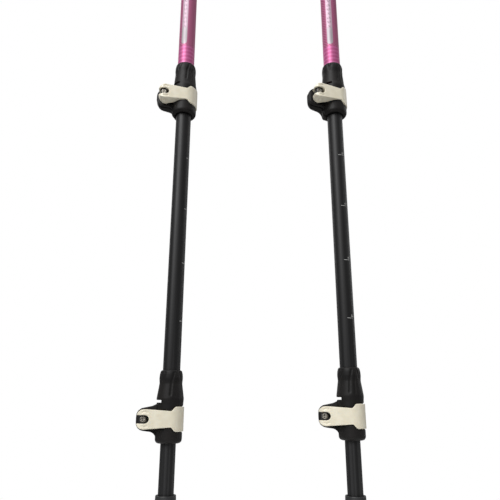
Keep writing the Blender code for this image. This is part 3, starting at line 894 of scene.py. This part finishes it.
def strap_mesh(outward):
    """The tape swept along its middle line, with a map of how far along and across each point is."""
    line, length = smooth_loop(strap_path(), spacing=1.2)
    ahead = np.roll(line, -1, axis=0) - np.roll(line, 1, axis=0)
    ahead /= np.linalg.norm(ahead, axis=1)[:, None]
    out = np.column_stack((ahead[:, 1], -ahead[:, 0]))
    section = tape_section()
    shape = bmesh.new()
    tape = shape.loops.layers.uv.new("tape")
    rings = []
    for point, normal in zip(line, out):
        ring = []
        for across, depth in section:
            x, z = point + normal * depth
            ring.append(shape.verts.new((outward * x, across, z)))
        rings.append(ring)
    step = length / len(rings)
    for i, ring in enumerate(rings):
        after = rings[(i + 1) % len(rings)]
        for j in range(len(section)):
            k = (j + 1) % len(section)
            face = shape.faces.new((ring[j], ring[k], after[k], after[j]))
            places = ((i, j), (i, k), (i + 1, k), (i + 1, j))
            for loop, (along, which) in zip(face.loops, places):
                loop[tape].uv = (along * step * MM, section[which][0] * MM)
    return finished(shape)


def stitches(outward):
    """A boxed cross of thread on both faces of the strap's neck, under the keeper."""
    shape = bmesh.new()
    low, high, half = -36.5, -26.5, 6.2
    box = [(-half, low), (half, low), (half, high), (-half, high)]
    runs = list(zip(box, box[1:] + box[:1])) + [(box[0], box[2]), (box[1], box[3])]
    stitch_pitch = 2.0
    stitch = Matrix.Diagonal((0.22, 0.75, 0.26, 1))
    # Below this height the outer strand leans out, and its stitches with it
    lean_height = -33
    lean = 0.22
    for face in (-1, 1):
        for start, end in runs:
            start, end = Vector(start), Vector(end)
            count = round((end - start).length / stitch_pitch)
            turn = Matrix.Rotation(math.atan2(end.y - start.y, end.x - start.x), 4, "X")
            for i in range(count):
                middle = start + (end - start) * (i + 0.5) / count
                depth = WEBBING + 0.1
                if middle.y < lean_height and face > 0:
                    depth += lean
                place = Matrix.Translation((face * depth * outward, middle.x, middle.y))
                bmesh.ops.create_icosphere(shape, subdivisions=2, radius=1.0,
                                           matrix=place @ turn @ stitch)
    return finished(shape)


def build_grip(side, pole):
    """The handle, the cap on its top and the foam sleeve below it."""
    section = side + "_upper_section"
    base = frame_at(pole["axis"], GRIP_BOTTOM)
    handle = softened(side + "_grip_handle", base, voxel=0.55, passes=3, reshape=grip_shape,
                      early_passes=30)
    placed(side + "_grip_handle_rubber", handle, "grip", base, section,
           side + "_grip_handle", slot="grip_rubber")
    cap = softened(side + "_grip_cap", base, voxel=0.4, passes=40)
    placed(side + "_grip_cap_moulding", cap, "cap", base, section,
           side + "_grip_cap", slot="black_hard_plastic")
    foam = placed(side + "_grip_foam", turned(foam_profile()), "foam", base, section,
                  side + "_grip_extension", slot="black_foam")


def build_strap(side, pole):
    """The wrist strap, its stitching and its keeper, which all swing on the strap's pin."""
    strap_body = side + "_strap"
    outward = pole["outward"]
    pin = frame_at(pole["axis"] + outward * STRAP_PIN_X, GRIP_BOTTOM + STRAP_PIN_HEIGHT)
    placed(side + "_strap_webbing", strap_mesh(outward), "webbing", pin, strap_body,
           side + "_wrist_strap", slot="black_webbing")
    placed(side + "_strap_stitching", stitches(outward), "thread", pin, strap_body)
    keeper = softened(side + "_strap_keeper", pin, voxel=0.25, passes=5)
    placed(side + "_strap_keeper_moulding", keeper, "cap", pin, strap_body,
           side + "_strap_keeper", slot="black_hard_plastic")


def dress_cad_nodes(side):
    """The CAD nodes that stay get their finished materials."""
    kept = {"strap_pin": "steel", "middle_bushing": "bushing", "lower_bushing": "bushing"}
    for which in LOCK_SIZES:
        kept[which + "_nut"] = "steel"
        kept[which + "_barrel"] = "barrel"
    for node, surface in kept.items():
        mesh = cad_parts[f"{side}_{node}"].data
        for i in range(len(mesh.materials)):
            mesh.materials[i] = SURFACES[surface].material


# Studio


def build_world():
    """White behind everything that the camera sees, and a weaker white light from all round."""
    world = bpy.data.worlds.new("studio")
    bpy.context.scene.world = world
    world.use_nodes = True
    nodes, links = world.node_tree.nodes, world.node_tree.links
    around = nodes["Background"]
    around.inputs["Color"].default_value = (1, 1, 1, 1)
    around.inputs["Strength"].default_value = 0.26
    seen = nodes.new("ShaderNodeBackground")
    seen.inputs["Color"].default_value = (1, 1, 1, 1)
    path = nodes.new("ShaderNodeLightPath")
    mixed = nodes.new("ShaderNodeMixShader")
    links.new(path.outputs["Is Camera Ray"], mixed.inputs[0])
    links.new(around.outputs[0], mixed.inputs[1])
    links.new(seen.outputs[0], mixed.inputs[2])
    links.new(mixed.outputs[0], nodes["World Output"].inputs["Surface"])


def build_lights():
    """Soft boxes that face the poles. Each row: name, place, width, height in metres, and watts."""
    target = Vector((0, 0, 0.4))
    for name, place, width, height, power in (
        ("key", (-0.9, -1.5, 1.7), 0.9, 1.3, 52.0),
        ("fill", (1.7, -1.1, 1.0), 0.7, 1.8, 0.6),
        ("back", (-1.2, 1.7, 1.4), 1.2, 1.6, 8.0),
        ("side", (1.8, 0.9, 1.1), 0.9, 1.6, 8.0),
        ("top", (0.2, -0.1, 2.6), 1.6, 1.6, 16.0),
    ):
        light = bpy.data.lights.new(name, "AREA")
        light.shape = "RECTANGLE"
        light.size = width
        light.size_y = height
        light.energy = power
        lamp = bpy.data.objects.new(name, light)
        lamp.location = place
        lamp.rotation_euler = (target - Vector(place)).to_track_quat("-Z", "Y").to_euler()
        bpy.context.scene.collection.objects.link(lamp)


def build_floor():
    """A pale disc that fades out before its edge, so that no horizon shows."""
    floor_radius = 0.6
    solid_radius = 0.12
    faded_radius = 0.55
    shape = bmesh.new()
    bmesh.ops.create_circle(shape, cap_ends=True, segments=FINE, radius=floor_radius)
    floor = bpy.data.objects.new("floor", finished(shape))
    bpy.context.scene.collection.objects.link(floor)
    floor.location.z = -0.5 * MM
    pale = Surface("pale_floor", roughness=0.9)
    pale.set("Base Color", rgb(238, 238, 237))
    pale.set("Specular IOR Level", 0.2)
    pale.set("Alpha", pale.blur(pale.distance(pale.x, pale.y), faded_radius, solid_radius))
    floor.data.materials.append(pale.material)


def build_camera():
    """Low in front of the poles, tilted up, with a lens as long as its sensor is wide."""
    tilt_up = 17.29
    roll = 0.115
    lens = bpy.data.cameras.new("camera")
    lens.lens = 36.0
    lens.sensor_width = 36.0
    lens.clip_start = 0.01
    camera = bpy.data.objects.new("camera", lens)
    camera.matrix_world = (Matrix.Translation((-0.00843, -0.4174, 0.1599))
                           @ Matrix.Rotation(math.radians(90 + tilt_up), 4, "X")
                           @ Matrix.Rotation(math.radians(roll), 4, "Z"))
    bpy.context.scene.collection.objects.link(camera)
    bpy.context.scene.camera = camera


def main():
    bpy.context.scene.view_settings.view_transform = "Standard"
    build_world()
    build_lights()
    build_floor()
    build_camera()
    for side, pole in POLES.items():
        build_lock(side, pole, "upper", UPPER_LOCK_RIM, side + "_upper_section")
        build_lock(side, pole, "lower", pole["lower_rim"], side + "_middle_section")
        build_tubes(side, pole)
        build_tip(side, pole)
        build_grip(side, pole)
        build_strap(side, pole)
        dress_cad_nodes(side)


main()
